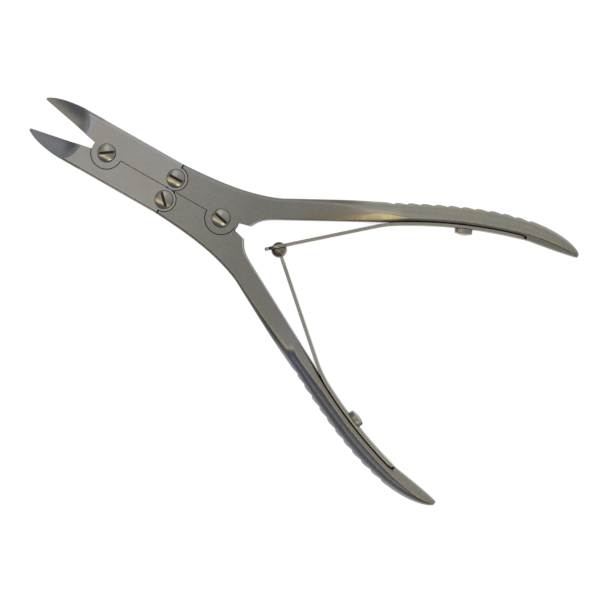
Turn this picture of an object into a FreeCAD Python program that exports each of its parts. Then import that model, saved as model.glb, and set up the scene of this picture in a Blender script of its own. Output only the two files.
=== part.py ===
import FreeCAD, Part
import Sketcher
import math
import os

# Double-action bone cutting forceps, lying flat with the jaws and handles fully open.
# Lengths are millimetres and angles are degrees. Bodies are drawn about the handle pivot, with the
# forceps axis along X, the jaws towards -X, the upper lever on the +Y side and Z = 0 half-way
# through the thickness. The last section moves them to the centre of their own footprint.

Vector = FreeCAD.Vector
Rotation = FreeCAD.Rotation
Placement = FreeCAD.Placement

sizes = {
    # linkage, measured with the forceps open
    "pivot_spacing": 45.0,          # jaw pivot to handle pivot
    "link_setback": 20.05,          # handle pivot back to the two link pivots, along the axis
    "link_offset": 4.1,             # link pivots out from the axis
    # box, where the levers lap over each other
    "box_thickness": 7.6,
    "box_half_width": 9.6,
    "box_edge_round": 1.1,
    "jaw_lobe_radius": 5.4,
    "handle_lobe_radius": 5.5,
    "link_lobe_radius": 4.0,
    "seam_gap": 0.22,               # open seam between two levers that touch when fully open
    "lobe_gap": 0.18,                # round a lobe, in the recess of its partner
    "lap_gap": 0.06,                # between the two halves of a lap
    "jaw_relief_angle": 20.0,       # trims the thin corner of the jaw beside its link lobe
    "handle_relief_angle": 28.0,    # trims the handle there, so the jaw can turn past it
    # blades
    "blade_reach": 28.2,            # jaw pivot to tip, along the axis
    "blade_opening": 5.65,          # cutting edge out from the axis at the tip
    "blade_tip_width": 0.7,
    "blade_shoulder": 14.1,         # length of the curved back
    "edge_half_thickness": 0.15,
    "grind_width": 7.2,             # cutting edge to where the hollow grind meets the flat face
    "grind_hollow": 0.7,
    "grind_wheel_radius": 9.0,
    "grind_overrun": 1.5,           # how far the wheel clears the metal on each side
    "grind_start": 16.6,            # jaw pivot to where the wheel leaves the blade
    # handles
    "horn_reach": 10.0,             # handle pivot to the tip of the closing stop
    "horn_angle": 14.45,            # stop face from the axis
    "crotch_lead": 4.0,             # handle lengths of the two curves of the head, and how they set off
    "crotch_lead_angle": 66.0,
    "crotch_run": 5.5,
    "shoulder_run": 12.0,
    "shoulder_turn": 4.5,
    "seam_run": 11.0,
    "seam_turn": 3.5,
    "shank_inner_along": 18.0,      # where the crotch ends and the shank begins
    "shank_inner_offset": 9.73,
    "shank_angle": 28.3,
    "shank_length": 38.27,
    "shank_width": 7.15,
    "shank_facet_start": 1.16,      # rounded side of the shank where it leaves the head
    "width_taper_start": 18.0,      # from the crotch, along the handle
    "width_taper_end": 56.0,
    "land_taper_start": 30.0,
    "land_taper_end": 60.0,
    "bevel_growth_start": 26.0,
    "bevel_growth_end": 48.0,
    "land_slope": 13.0,             # the land leans inwards along the grip
    "land_slope_start": 27.0,
    "land_slope_end": 34.0,
    "grip_angle": 31.4,             # slope of the inner face where the grip begins
    "grip_bow_radius": 158.0,
    "grip_length": 46.1,            # along the spring seat, up to its step
    "grip_width": 6.05,             # spring seat to the outer edge
    "grip_apex": 2.2,               # height of the straight part of the outer face
    "shank_land": 2.4,              # flat strip between bevel and rounded side, where the grip begins
    "grip_land": 0.9,               # the same near the end of the grip
    "shank_bevel": 0.2,
    "grip_bevel": 0.95,
    "nose_bevel": 2.0,
    "nose_narrowing": 0.7,
    "nose_narrowing_start": 32.0,   # along the seat
    "nose_narrowing_end": 50.0,
    "nose_length": 17.7,
    "nose_angle": 8.6,
    "nose_plan_power": 0.55,        # how bluntly the width and the height run out
    "nose_height_power": 0.6,
    "nose_inner_rise": 0.1,         # share of the narrowing that is on the inner side
    "serration_start": 38.0,
    "serration_pitch": 4.45,
    "serration_count": 11,
    "serration_depth": 0.5,
    "serration_steep_run": 1.1,
    # double spring
    "seat_depth": 1.2,              # step at the end of the seat, level with the leaf
    "seat_start": 19.6,             # where the seat is first cut, before the spring screw
    "seat_relief": 0.03,            # how far the cut goes past the inner face there
    "seat_lead": 2.4,               # the grip begins to swell over the seat this far after it
    "seat_swell_run": 18.0,
    "seat_end": 45.1,
    "seat_clearance": 0.1,
    "leaf_thickness": 1.1,
    "leaf_width": 5.6,
    "leaf_neck_width": 4.2,
    "leaf_bend_radius": 40.0,
    "leaf_tail": 44.85,              # end of the leaf, along the seat
    "leaf_tail_rounding": 2.2,
    "upper_leaf_lift": 0.75,         # where the leaf leaves the seat
    "upper_leaf_angle": 41.2,
    "lower_leaf_lift": 9.35,
    "lower_leaf_angle": 41.7,
    "ball_before_crossing": 1.12,   # ball on the lower leaf's line, short of where the two lines cross
    "ball_radius": 2.7,
    "ball_eye_rim": 1.2,            # metal left round the eye
    "ball_eye_clearance": 0.15,
    "ball_tang_width": 2.4,
    "ball_tang_clearance": 0.02,
    "tongue_length": 5.0,           # eye centre to the point of the tongue
    # pivot screws
    "head_radius": 3.1,
    "head_proud": 0.5,              # rim of the head above the face
    "head_dome": 0.6,
    "head_sunk": 0.9,               # depth of the counterbore
    "counterbore_clearance": 0.1,
    "pivot_shank_radius": 2.0,
    "pivot_thread_radius": 1.75,
    "pivot_clearance": 0.08,
    "thread_clearance": 0.02,
    "slot_width": 0.9,
    "slot_depth": 0.9,
    # spring screws
    "spring_screw_along": 23.7,     # along the seat
    "spring_head_radius": 3.0,
    "spring_head_height": 1.6,
    "spring_head_dome": 0.6,
    "spring_head_lift": 0.05,       # keeps the flat underside of the head clear of the bowed leaf
    "spring_shank_radius": 1.4,
    "spring_screw_depth": 4.0,      # into the handle
    "spring_screw_clearance": 0.15,
}

doc = FreeCAD.newDocument("bone_cutting_forceps")
sheet = doc.addObject("Spreadsheet::Sheet", "Sizes")
for row, (alias, number) in enumerate(sizes.items(), start=1):
    sheet.set(f"A{row}", alias.replace("_", " "))
    sheet.set(f"B{row}", str(number))
    sheet.setAlias(f"B{row}", alias)
doc.recompute()


class Measure:
    """A number that remembers the sheet expression it comes from, so that sketches can be tied to it."""

    def __init__(self, value, text):
        self.value = value
        self.text = text

    def __add__(self, other):
        other = measure(other)
        return Measure(self.value + other.value, f"({self.text} + {other.text})")

    def __sub__(self, other):
        other = measure(other)
        return Measure(self.value - other.value, f"({self.text} - {other.text})")

    def __mul__(self, other):
        other = measure(other)
        return Measure(self.value * other.value, f"({self.text} * {other.text})")

    def __truediv__(self, other):
        other = measure(other)
        return Measure(self.value / other.value, f"({self.text} / {other.text})")

    def __neg__(self):
        return Measure(-self.value, f"(0 - {self.text})")

    __radd__ = __add__
    __rmul__ = __mul__


def measure(value):
    return value if isinstance(value, Measure) else Measure(float(value), str(float(value)))


def cell(alias):
    return Measure(float(sheet.get(alias)), f"Sizes.{alias}")


def tangent(angle):
    return Measure(math.tan(math.radians(angle.value)), f"tan({angle.text} * 1 deg)")


def cosine(angle):
    return Measure(math.cos(math.radians(angle.value)), f"cos({angle.text} * 1 deg)")


def sine(angle):
    return Measure(math.sin(math.radians(angle.value)), f"sin({angle.text} * 1 deg)")


def new_body(name):
    body = doc.addObject("PartDesign::Body", name)
    body.Label = name
    return body


def new_sketch(body, name, plane="XY_Plane", offset=Placement()):
    sketch = body.newObject("Sketcher::SketchObject", name)
    support = next(item for item in body.Origin.OriginFeatures if item.Role == plane)
    sketch.AttachmentSupport = [(support, "")]
    sketch.MapMode = "FlatFace"
    sketch.AttachmentOffset = offset
    return sketch


class Outline:
    """One closed outline in a sketch. Its corners are tied to the sheet when it is closed."""

    def __init__(self, sketch, x, y):
        self.sketch = sketch
        self.corners = [(measure(x), measure(y))]
        self.segments = []

    def vector(self, index=-1):
        x, y = self.corners[index]
        return Vector(x.value, y.value, 0)

    def add(self, curve, start, x, y):
        number = self.sketch.addGeometry(curve)
        drawn = self.sketch.Geometry[number]
        forward = (drawn.StartPoint - start).Length < (drawn.EndPoint - start).Length
        self.segments.append((number, 1 if forward else 2))
        self.corners.append((measure(x), measure(y)))

    def line(self, x, y):
        start = self.vector()
        end = Vector(measure(x).value, measure(y).value, 0)
        self.add(Part.LineSegment(start, end), start, x, y)

    def arc(self, x, y, bulge):
        """Arc to a point; the bulge is how far its middle stands to the left of the chord."""
        start = self.vector()
        end = Vector(measure(x).value, measure(y).value, 0)
        chord = end - start
        left = Vector(-chord.y, chord.x, 0).normalize()
        middle = (start + end) * 0.5 + left * bulge
        curve = Part.Arc(start, middle, end)
        self.add(curve, start, x, y)

    def curve(self, x, y, first_pole, second_pole):
        start = self.vector()
        end = Vector(measure(x).value, measure(y).value, 0)
        spline = Part.BSplineCurve()
        poles = [start, Vector(*first_pole, 0), Vector(*second_pole, 0), end]
        spline.buildFromPolesMultsKnots(poles, [4, 4], [0.0, 1.0], False, 3)
        self.add(spline, start, x, y)

    def close(self):
        ties = []
        texts = []
        count = len(self.segments)
        for index, (number, begin) in enumerate(self.segments):
            following, following_begin = self.segments[(index + 1) % count]
            ties.append(Sketcher.Constraint("Coincident", number, 3 - begin, following, following_begin))
            texts.append(None)
            x, y = self.corners[index]
            ties.append(Sketcher.Constraint("DistanceX", -1, 1, number, begin, x.value))
            texts.append(x.text)
            ties.append(Sketcher.Constraint("DistanceY", -1, 1, number, begin, y.value))
            texts.append(y.text)
        numbers = self.sketch.addConstraint(ties)
        for number, text in zip(numbers, texts):
            if text and "Sizes" in text:
                self.sketch.setExpression(f"Constraints[{number}]", text)


def circle_sketch(body, name, x, y, z, radius):
    """A circle about a pivot, with its place and radius tied to the sheet."""
    sketch = new_sketch(body, name)
    x, y, z = measure(x), measure(y), measure(z)
    sketch.AttachmentOffset = Placement(Vector(x.value, y.value, z.value), Rotation())
    for axis, amount in (("x", x), ("y", y), ("z", z)):
        sketch.setExpression(f"AttachmentOffset.Base.{axis}", amount.text)
    sketch.addGeometry(Part.Circle(Vector(), Vector(0, 0, 1), radius.value))
    sketch.addConstraint(Sketcher.Constraint("Coincident", 0, 3, -1, 1))
    number = sketch.addConstraint(Sketcher.Constraint("Radius", 0, radius.value))
    sketch.setExpression(f"Constraints[{number}]", radius.text)
    return sketch


def extrude(body, kind, name, sketch, length, reverse=False, both_ways=False):
    feature = body.newObject(f"PartDesign::{kind}", name)
    feature.Profile = sketch
    feature.Reversed = reverse
    feature.Midplane = both_ways
    length = measure(length)
    feature.Length = length.value
    feature.setExpression("Length", length.text)
    doc.recompute()
    return feature


def must_change(body, feature, growing):
    """Stops the build if a feature that should add or take metal does neither."""
    before = feature.BaseFeature.Shape.Volume
    after = feature.Shape.Volume
    if (after - before) * (1 if growing else -1) < 1e-3:
        raise RuntimeError(f"{body.Label}: {feature.Name} changes nothing")


def round_edges(body, name, radius, chosen):
    """Rounds the edges of the body's last feature for which chosen(edge) is true."""
    tip = body.Tip
    names = [f"Edge{n}" for n, edge in enumerate(tip.Shape.Edges, start=1) if chosen(edge)]
    fillet = body.newObject("PartDesign::Fillet", name)
    fillet.Base = (tip, names)
    fillet.Radius = radius.value
    fillet.setExpression("Radius", radius.text)
    doc.recompute()
    return fillet


thickness = cell("box_thickness")
face_height = thickness / 2
half_lap = cell("lap_gap") / 2
half_seam = cell("seam_gap") / 2
jaw_pivot_x = -cell("pivot_spacing")
link_x = -cell("link_setback")


def lap(body, name, x, y, radius, top):
    """Half-lap at a pivot: the lobe in this lever's half and the recess for the partner's lobe."""
    layer = 1 if top else -1
    recess = circle_sketch(body, f"{name}_recess_sketch", x, y, layer * half_lap, radius + cell("lobe_gap"))
    cut = extrude(body, "Pocket", f"{name}_recess", recess, face_height + half_lap, reverse=not top)
    must_change(body, cut, growing=False)
    lobe = circle_sketch(body, f"{name}_lobe_sketch", x, y, layer * half_lap, radius)
    pad = extrude(body, "Pad", f"{name}_lobe", lobe, face_height - half_lap, reverse=not top)
    must_change(body, pad, growing=True)


def pivot_holes(body, name, x, y, top):
    """Running bore and counterbore in a top lobe, or the tapped bore in a bottom lobe."""
    if top:
        bore_radius = cell("pivot_shank_radius") + cell("pivot_clearance")
    else:
        bore_radius = cell("pivot_thread_radius") + cell("thread_clearance")
    bore = circle_sketch(body, f"{name}_bore_sketch", x, y, 0, bore_radius)
    must_change(body, extrude(body, "Pocket", f"{name}_bore", bore, thickness * 2, both_ways=True), False)
    if top:
        seat_radius = cell("head_radius") + cell("counterbore_clearance")
        seat = circle_sketch(body, f"{name}_seat_sketch", x, y, face_height, seat_radius)
        must_change(body, extrude(body, "Pocket", f"{name}_seat", seat, cell("head_sunk")), False)


def blade_frame(side, distance):
    """Placement whose X runs from the cutting edge to the back and whose Y is up, on the cutting edge."""
    slope = math.atan2(cell("blade_opening").value, cell("blade_reach").value)
    towards_tip = Vector(-math.cos(slope), side * math.sin(slope), 0)
    towards_back = Vector(math.sin(slope), side * math.cos(slope), 0)
    foot = Vector(jaw_pivot_x.value, 0, 0) + towards_tip * distance
    upright = Vector(0, 0, 1)
    return Placement(foot, Rotation(towards_back, upright, towards_back.cross(upright), "ZXY"))


def grind_outline(sketch):
    """Section of the metal that the wheel takes off one face of a blade."""
    edge = cell("edge_half_thickness")
    width = cell("grind_width")
    overrun = cell("grind_overrun")
    above = face_height + overrun
    outline = Outline(sketch, -overrun, edge)
    outline.line(0, edge)
    outline.arc(width, face_height, -cell("grind_hollow").value)
    outline.line(width + overrun, above)
    outline.line(-overrun, above)
    outline.line(-overrun, edge)
    outline.close()


def make_jaw(name, side, top_at_pivot):
    body = new_body(name)
    reach = cell("blade_reach")
    opening = cell("blade_opening")
    half_width = cell("box_half_width")
    tip_x = jaw_pivot_x - reach
    shoulder = cell("blade_shoulder")
    tip_back = opening + cell("blade_tip_width")
    rise = (half_width - tip_back).value
    seam_x = link_x - half_seam
    relief_x = link_x - tangent(cell("jaw_relief_angle")) * (cell("link_offset") - half_seam)

    def pole(along_share, rise_share):
        along = tip_x.value + along_share * shoulder.value
        return (along, side * (tip_back.value + rise_share * rise))

    sketch = new_sketch(body, f"{name}_plan")
    outline = Outline(sketch, relief_x, side * half_seam)
    outline.line(jaw_pivot_x, side * half_seam)
    outline.line(tip_x, side * opening)
    outline.line(tip_x, side * tip_back)
    outline.curve(tip_x + shoulder, side * half_width, pole(0.2, 0.55), pole(0.53, 0.9))
    outline.line(seam_x, side * half_width)
    outline.line(seam_x, side * cell("link_offset"))
    outline.line(relief_x, side * half_seam)
    outline.close()
    extrude(body, "Pad", f"{name}_blank", sketch, thickness, both_ways=True)

    def along_box_side(edge):
        middle = edge.CenterOfMass
        flat = abs(abs(middle.z) - face_height.value) < 1e-4
        return flat and abs(abs(middle.y) - half_width.value) < 1e-3

    round_edges(body, f"{name}_side_round", cell("box_edge_round"), along_box_side)

    lap(body, f"{name}_pivot", jaw_pivot_x, 0, cell("jaw_lobe_radius"), top_at_pivot)
    lap(body, f"{name}_link", link_x, side * cell("link_offset"), cell("link_lobe_radius"), True)
    pivot_holes(body, f"{name}_pivot", jaw_pivot_x, 0, top_at_pivot)
    pivot_holes(body, f"{name}_link", link_x, side * cell("link_offset"), True)

    # Each face is hollow ground from the tip back, and the wheel runs out on its own radius.
    grind_frame = blade_frame(side, cell("grind_start").value)
    straight_sketch = new_sketch(body, f"{name}_grind_sketch", offset=grind_frame)
    grind_outline(straight_sketch)
    straight = extrude(body, "Pocket", f"{name}_grind", straight_sketch, reach, reverse=side < 0)
    must_change(body, straight, growing=False)
    wheel_sketch = new_sketch(body, f"{name}_wheel_sketch", offset=grind_frame)
    grind_outline(wheel_sketch)
    axis_height = cell("edge_half_thickness").value + cell("grind_wheel_radius").value
    wheel_axis = Part.LineSegment(Vector(0, axis_height, 0), Vector(1, axis_height, 0))
    wheel_sketch.addGeometry(wheel_axis, True)
    wheel = body.newObject("PartDesign::Groove", f"{name}_wheel")
    wheel.Profile = wheel_sketch
    wheel.ReferenceAxis = (wheel_sketch, ["Axis0"])
    wheel.Angle = 360
    doc.recompute()
    must_change(body, wheel, growing=False)
    middle_plane = next(item for item in body.Origin.OriginFeatures if item.Role == "XY_Plane")
    second_face = body.newObject("PartDesign::Mirrored", f"{name}_second_face")
    second_face.Originals = [straight, wheel]
    second_face.MirrorPlane = (middle_plane, [""])
    body.Tip = second_face
    doc.recompute()
    return body


def ramp(position, start, end):
    """Smooth step from 0 at start to 1 at end."""
    share = min(max((position - start) / (end - start), 0.0), 1.0)
    return share * share * (3 - 2 * share)


shank_start = Vector(cell("shank_inner_along").value, cell("shank_inner_offset").value, 0)
shank_length = cell("shank_length").value
shank_slope = math.radians(cell("shank_angle").value)
seat_slope = math.radians(cell("grip_angle").value)
seat_start = shank_start + Vector(math.cos(shank_slope), math.sin(shank_slope), 0) * shank_length
bow_radius = cell("grip_bow_radius").value
bow_centre = seat_start + Vector(math.sin(seat_slope), -math.cos(seat_slope), 0) * bow_radius


def seat_angle(along):
    """Slope of the spring seat, in radians, at a distance along it."""
    return seat_slope - along / bow_radius


def seat_point(along, inwards=0.0):
    """Point of the upper spring seat; inwards is the distance off it, towards the axis."""
    angle = seat_angle(along)
    return bow_centre + Vector(-math.sin(angle), math.cos(angle), 0) * (bow_radius - inwards)


def grip_station(position):
    """Inner point, slope and section sizes of the upper handle at a distance from the crotch."""
    length = cell("grip_length").value
    along = position - shank_length
    swell_start = cell("seat_start").value + cell("seat_lead").value
    sunk = ramp(along, swell_start, swell_start + cell("seat_swell_run").value)
    inwards = cell("seat_depth").value * sunk
    width = cell("shank_width").value
    taper = ramp(position, cell("width_taper_start").value, cell("width_taper_end").value)
    width += (cell("grip_width").value - width) * taper
    narrowing = ramp(along, cell("nose_narrowing_start").value, cell("nose_narrowing_end").value)
    width += inwards - cell("nose_narrowing").value * narrowing
    if along <= 0:
        slope = shank_slope
        point = shank_start + Vector(math.cos(slope), math.sin(slope), 0) * position
    else:
        slope = seat_angle(min(along, length))
        point = seat_point(min(along, length), inwards)
    rounding = 1.0
    if along > length:
        # The nose has a straight inner edge, and its outer edge curves down to meet it.
        nose = along - length
        slope = math.radians(cell("nose_angle").value)
        rounding = (1 - (nose / cell("nose_length").value) ** 2) ** cell("nose_plan_power").value
        rise = cell("nose_inner_rise").value * width * (1 - rounding)
        point = point + Vector(math.cos(slope), math.sin(slope), 0) * nose
        point = point + Vector(-math.sin(slope), math.cos(slope), 0) * rise
    blend = ramp(position, 0, shank_length + 12)
    bevel = cell("shank_bevel").value
    growth = ramp(position, cell("bevel_growth_start").value, cell("bevel_growth_end").value)
    bevel += (cell("grip_bevel").value - bevel) * growth
    bevel += (cell("nose_bevel").value - cell("grip_bevel").value) * sunk
    land = cell("shank_land").value
    taper = ramp(position, cell("land_taper_start").value, cell("land_taper_end").value)
    land = bevel + land + (cell("grip_land").value - land) * taper
    lean = ramp(position, cell("land_slope_start").value, cell("land_slope_end").value)
    facet_start = cell("shank_facet_start").value
    facet = facet_start + (width - facet_start - land) * blend
    apex = (face_height.value - facet_start) * (1 - blend) + cell("grip_apex").value / 2 * blend
    return {
        "point": point,
        "slope": slope,
        "width": width * rounding,
        "height": face_height.value * rounding ** cell("nose_height_power").value,
        "land": (width - facet) * rounding,
        "apex": apex * rounding,
        "bevel": bevel * rounding,
        "land_slope": cell("land_slope").value * lean,
    }


def section_frame(station, side):
    inner = Vector(station["point"].x, side * station["point"].y, 0)
    outwards = Vector(-math.sin(station["slope"]), side * math.cos(station["slope"]), 0)
    upright = Vector(0, 0, 1)
    return Placement(inner, Rotation(outwards, upright, outwards.cross(upright), "ZXY"))


def draw_section(sketch, station):
    """D-shaped section: flat inner face with bevels, leaning lands and a rounded outer side."""
    height = station["height"]
    bevel = station["bevel"]
    land = station["land"]
    width = station["width"]
    apex = station["apex"]
    # The rounded side leaves the land in line with it, so half its turn is the slope of its chord.
    fall = math.atan2(height - apex, width - land)
    bulge = 0.5 * math.hypot(width - land, height - apex) * math.tan(fall / 2)
    swell = Vector(math.sin(fall), math.cos(fall), 0) * bulge
    upper_middle = Vector((land + width) / 2, (height + apex) / 2, 0) + swell
    lower_middle = Vector(upper_middle.x, -upper_middle.y, 0)
    low = height - (land - bevel) * math.tan(math.radians(station["land_slope"]))
    corners = [
        Vector(0, -(low - bevel), 0),
        Vector(0, low - bevel, 0),
        Vector(bevel, low, 0),
        Vector(land, height, 0),
        Vector(width, apex, 0),
        Vector(width, -apex, 0),
        Vector(land, -height, 0),
        Vector(bevel, -low, 0),
    ]
    middles = {3: upper_middle, 5: lower_middle}
    for number, corner in enumerate(corners):
        following = corners[(number + 1) % len(corners)]
        if number in middles:
            sketch.addGeometry(Part.Arc(corner, middles[number], following))
        else:
            sketch.addGeometry(Part.LineSegment(corner, following))


def outer_point(position, side, depth=0.0):
    """Point of a handle's outer edge in plan, or below it by a depth."""
    station = grip_station(position)
    outwards = Vector(-math.sin(station["slope"]), math.cos(station["slope"]), 0)
    point = station["point"] + outwards * (station["width"] - depth)
    return Vector(point.x, side * point.y, 0)


def make_handle(name, side, top_at_pivot):
    body = new_body(name)
    offset = cell("link_offset")
    seam_x = link_x + half_seam
    relief_x = link_x + tangent(cell("handle_relief_angle")) * (offset - half_seam)
    horn_x = cell("horn_reach") * cosine(cell("horn_angle"))
    horn_y = cell("horn_reach") * sine(cell("horn_angle"))
    inner_x = cell("shank_inner_along")
    inner_y = cell("shank_inner_offset")
    slope = cell("shank_angle")
    outer_x = inner_x - sine(slope) * cell("shank_width")
    outer_y = inner_y + cosine(slope) * cell("shank_width")

    def towards(x, y, along, slope_angle):
        angle = math.radians(slope_angle)
        return (x.value + along * math.cos(angle), side * (y.value + along * math.sin(angle)))

    sketch = new_sketch(body, f"{name}_plan")
    outline = Outline(sketch, relief_x, side * half_seam)
    outline.line(0, side * half_seam)
    outline.line(horn_x, side * horn_y)
    crotch_start = towards(horn_x, horn_y, cell("crotch_lead").value, cell("crotch_lead_angle").value)
    crotch_end = towards(inner_x, inner_y, -cell("crotch_run").value, slope.value)
    outline.curve(inner_x, side * inner_y, crotch_start, crotch_end)
    outline.line(outer_x, side * outer_y)
    turn = slope.value - cell("shoulder_turn").value
    shoulder_start = towards(outer_x, outer_y, -cell("shoulder_run").value, turn)
    shoulder_end = towards(seam_x, cell("box_half_width"), cell("seam_run").value, cell("seam_turn").value)
    outline.curve(seam_x, side * cell("box_half_width"), shoulder_start, shoulder_end)
    outline.line(seam_x, side * offset)
    outline.line(relief_x, side * half_seam)
    outline.close()
    extrude(body, "Pad", f"{name}_head", sketch, thickness, both_ways=True)

    def along_shoulder(edge):
        middle = edge.CenterOfMass
        flat = abs(abs(middle.z) - face_height.value) < 1e-4
        outside = abs(middle.y) > cell("box_half_width").value
        return flat and outside and edge.Length > 3 * cell("shank_width").value

    round_edges(body, f"{name}_side_round", cell("box_edge_round"), along_shoulder)

    # The shank and grip are one loft along the handle.
    length = cell("grip_length").value
    nose = cell("nose_length").value
    positions = [shank_length * step / 8 for step in range(8)]
    positions += [shank_length + length * step / 11 for step in range(12)]
    nose_shares = (0.2, 0.4, 0.55, 0.68, 0.78, 0.86, 0.92, 0.965)
    positions += [shank_length + length + nose * share for share in nose_shares]
    sections = []
    for number, position in enumerate(positions):
        station = grip_station(position)
        section = new_sketch(body, f"{name}_section_{number}", offset=section_frame(station, side))
        draw_section(section, station)
        sections.append(section)
    grip = body.newObject("PartDesign::AdditiveLoft", f"{name}_grip")
    grip.Profile = sections[0]
    grip.Sections = sections[1:]
    grip.Ruled = True
    doc.recompute()
    must_change(body, grip, growing=True)

    lap(body, f"{name}_pivot", 0, 0, cell("handle_lobe_radius"), top_at_pivot)
    lap(body, f"{name}_link", link_x, side * offset, cell("link_lobe_radius"), False)
    pivot_holes(body, f"{name}_pivot", 0, 0, top_at_pivot)
    pivot_holes(body, f"{name}_link", link_x, side * offset, False)

    # Flat seat for the tail of the leaf spring, with a step at its end.
    seat = new_sketch(body, f"{name}_seat_sketch")
    first = cell("seat_start").value
    last = cell("seat_end").value
    relief = -cell("seat_relief").value
    corners = [seat_point(first, relief), seat_point(last, relief), seat_point(last, 4), seat_point(first, 4)]
    corners = [Vector(corner.x, side * corner.y, 0) for corner in corners]
    halfway = seat_point((first + last) / 2, relief)
    seat.addGeometry(Part.Arc(corners[0], Vector(halfway.x, side * halfway.y, 0), corners[1]))
    for number in (1, 2, 3):
        seat.addGeometry(Part.LineSegment(corners[number], corners[(number + 1) % 4]))
    must_change(body, extrude(body, "Pocket", f"{name}_seat", seat, thickness * 2, both_ways=True), False)

    # Cross serrations: each notch has one steep side and one long side.
    serrations = new_sketch(body, f"{name}_serration_sketch")
    pitch = cell("serration_pitch").value
    for number in range(int(cell("serration_count").value)):
        valley = cell("serration_start").value + number * pitch
        steep = cell("serration_steep_run").value
        notch = [
            outer_point(valley, side, cell("serration_depth").value),
            outer_point(valley + steep, side, -0.1),
            outer_point(valley - steep, side, -0.6),
            outer_point(valley - pitch + steep * 1.5, side, -0.1),
        ]
        for corner, following in zip(notch, notch[1:] + notch[:1]):
            serrations.addGeometry(Part.LineSegment(corner, following))
    cut = extrude(body, "Pocket", f"{name}_serrations", serrations, thickness * 2, both_ways=True)
    must_change(body, cut, growing=False)

    # Tapped hole for the spring screw, square to the seat.
    hole = new_sketch(body, f"{name}_spring_hole_sketch", offset=spring_screw_frame(side, 0.0))
    radius = cell("spring_shank_radius") + cell("thread_clearance")
    hole.addGeometry(Part.Circle(Vector(), Vector(0, 0, 1), radius.value))
    hole.addConstraint(Sketcher.Constraint("Coincident", 0, 3, -1, 1))
    number = hole.addConstraint(Sketcher.Constraint("Radius", 0, radius.value))
    hole.setExpression(f"Constraints[{number}]", radius.text)
    depth = cell("spring_screw_depth") + cell("seat_clearance")
    must_change(body, extrude(body, "Pocket", f"{name}_spring_hole", hole, depth), False)
    return body


def spring_screw_frame(side, inwards):
    """Placement on the spring seat whose Z points out of it, towards the axis of the forceps."""
    along = cell("spring_screw_along").value
    angle = seat_angle(along)
    foot = seat_point(along, inwards)
    normal = Vector(math.sin(angle), -side * math.cos(angle), 0)
    upright = Vector(0, 0, 1)
    turned = Rotation(upright.cross(normal), upright, normal, "ZXY")
    return Placement(Vector(foot.x, side * foot.y, 0), turned)


def leaf_points(lift, free_angle, inwards):
    """Corners of one long side of a leaf: tail, lift-off, end of the bend, and the free direction."""
    bend = cell("leaf_bend_radius").value
    tail = seat_point(cell("leaf_tail").value, inwards)
    middle = seat_point((cell("leaf_tail").value + lift) / 2, inwards)
    start = seat_point(lift, inwards)
    angle = seat_angle(lift)
    centre = seat_point(lift) + Vector(math.sin(angle), -math.cos(angle), 0) * bend
    free = math.radians(free_angle)
    half = (angle + free) / 2
    bend_middle = centre + Vector(-math.sin(half), math.cos(half), 0) * (bend - inwards)
    bend_end = centre + Vector(-math.sin(free), math.cos(free), 0) * (bend - inwards)
    return tail, middle, start, bend_middle, bend_end, Vector(-math.cos(free), -math.sin(free), 0)


leaf_mid = cell("seat_clearance").value + cell("leaf_thickness").value / 2


def leaf_line(side):
    """Start and direction of the straight part of a leaf's middle line, in plan."""
    which = "upper" if side > 0 else "lower"
    points = leaf_points(cell(f"{which}_leaf_lift").value, cell(f"{which}_leaf_angle").value, leaf_mid)
    start, direction = points[4], points[5]
    return Vector(start.x, side * start.y, 0), Vector(direction.x, side * direction.y, 0)


lower_start, lower_direction = leaf_line(-1)
upper_start, upper_direction = leaf_line(1)
between = upper_start - lower_start
crossing_run = between.cross(upper_direction).z / lower_direction.cross(upper_direction).z
ball_centre = lower_start + lower_direction * (crossing_run - cell("ball_before_crossing").value)
eye_distance = (ball_centre - upper_start).dot(upper_direction)
eye_centre = upper_start + upper_direction * eye_distance
eye_offset = (ball_centre - eye_centre).Length


def make_leaf(name, side, free_length):
    """Leaf spring: tail on the seat, a bend, and a straight run towards the ball."""
    which = "upper" if side > 0 else "lower"
    lift = cell(f"{which}_leaf_lift").value
    free_angle = cell(f"{which}_leaf_angle").value
    back = leaf_points(lift, free_angle, cell("seat_clearance").value)
    front = leaf_points(lift, free_angle, cell("seat_clearance").value + cell("leaf_thickness").value)
    body = new_body(name)
    sketch = new_sketch(body, f"{name}_plan")

    def flip(point):
        return Vector(point.x, side * point.y, 0)

    ends = []
    for tail, middle, start, bend_middle, bend_end, direction in (back, front):
        end = bend_end + direction * free_length
        sketch.addGeometry(Part.Arc(flip(tail), flip(middle), flip(start)))
        sketch.addGeometry(Part.Arc(flip(start), flip(bend_middle), flip(bend_end)))
        sketch.addGeometry(Part.LineSegment(flip(bend_end), flip(end)))
        ends.append((flip(tail), flip(end)))
    sketch.addGeometry(Part.LineSegment(ends[0][0], ends[1][0]))
    sketch.addGeometry(Part.LineSegment(ends[0][1], ends[1][1]))
    extrude(body, "Pad", f"{name}_strip", sketch, thickness, both_ways=True)
    return body


def trim_leaf(body, side, corners):
    """Cuts a leaf to its outline as seen from the side; corners run along its upper edge."""
    sketch = new_sketch(body, f"{body.Label}_side_sketch", plane="XZ_Plane")
    far = thickness.value
    for sign in (1, -1):
        edge = [Vector(x, sign * z, 0) for x, z in corners]
        loop = edge + [Vector(edge[-1].x, sign * far, 0), Vector(edge[0].x, sign * far, 0)]
        for corner, following in zip(loop, loop[1:] + loop[:1]):
            if (corner - following).Length > 1e-6:
                sketch.addGeometry(Part.LineSegment(corner, following))
    cut = extrude(body, "Pocket", f"{body.Label}_side", sketch, 400, both_ways=True)
    must_change(body, cut, growing=False)


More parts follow.
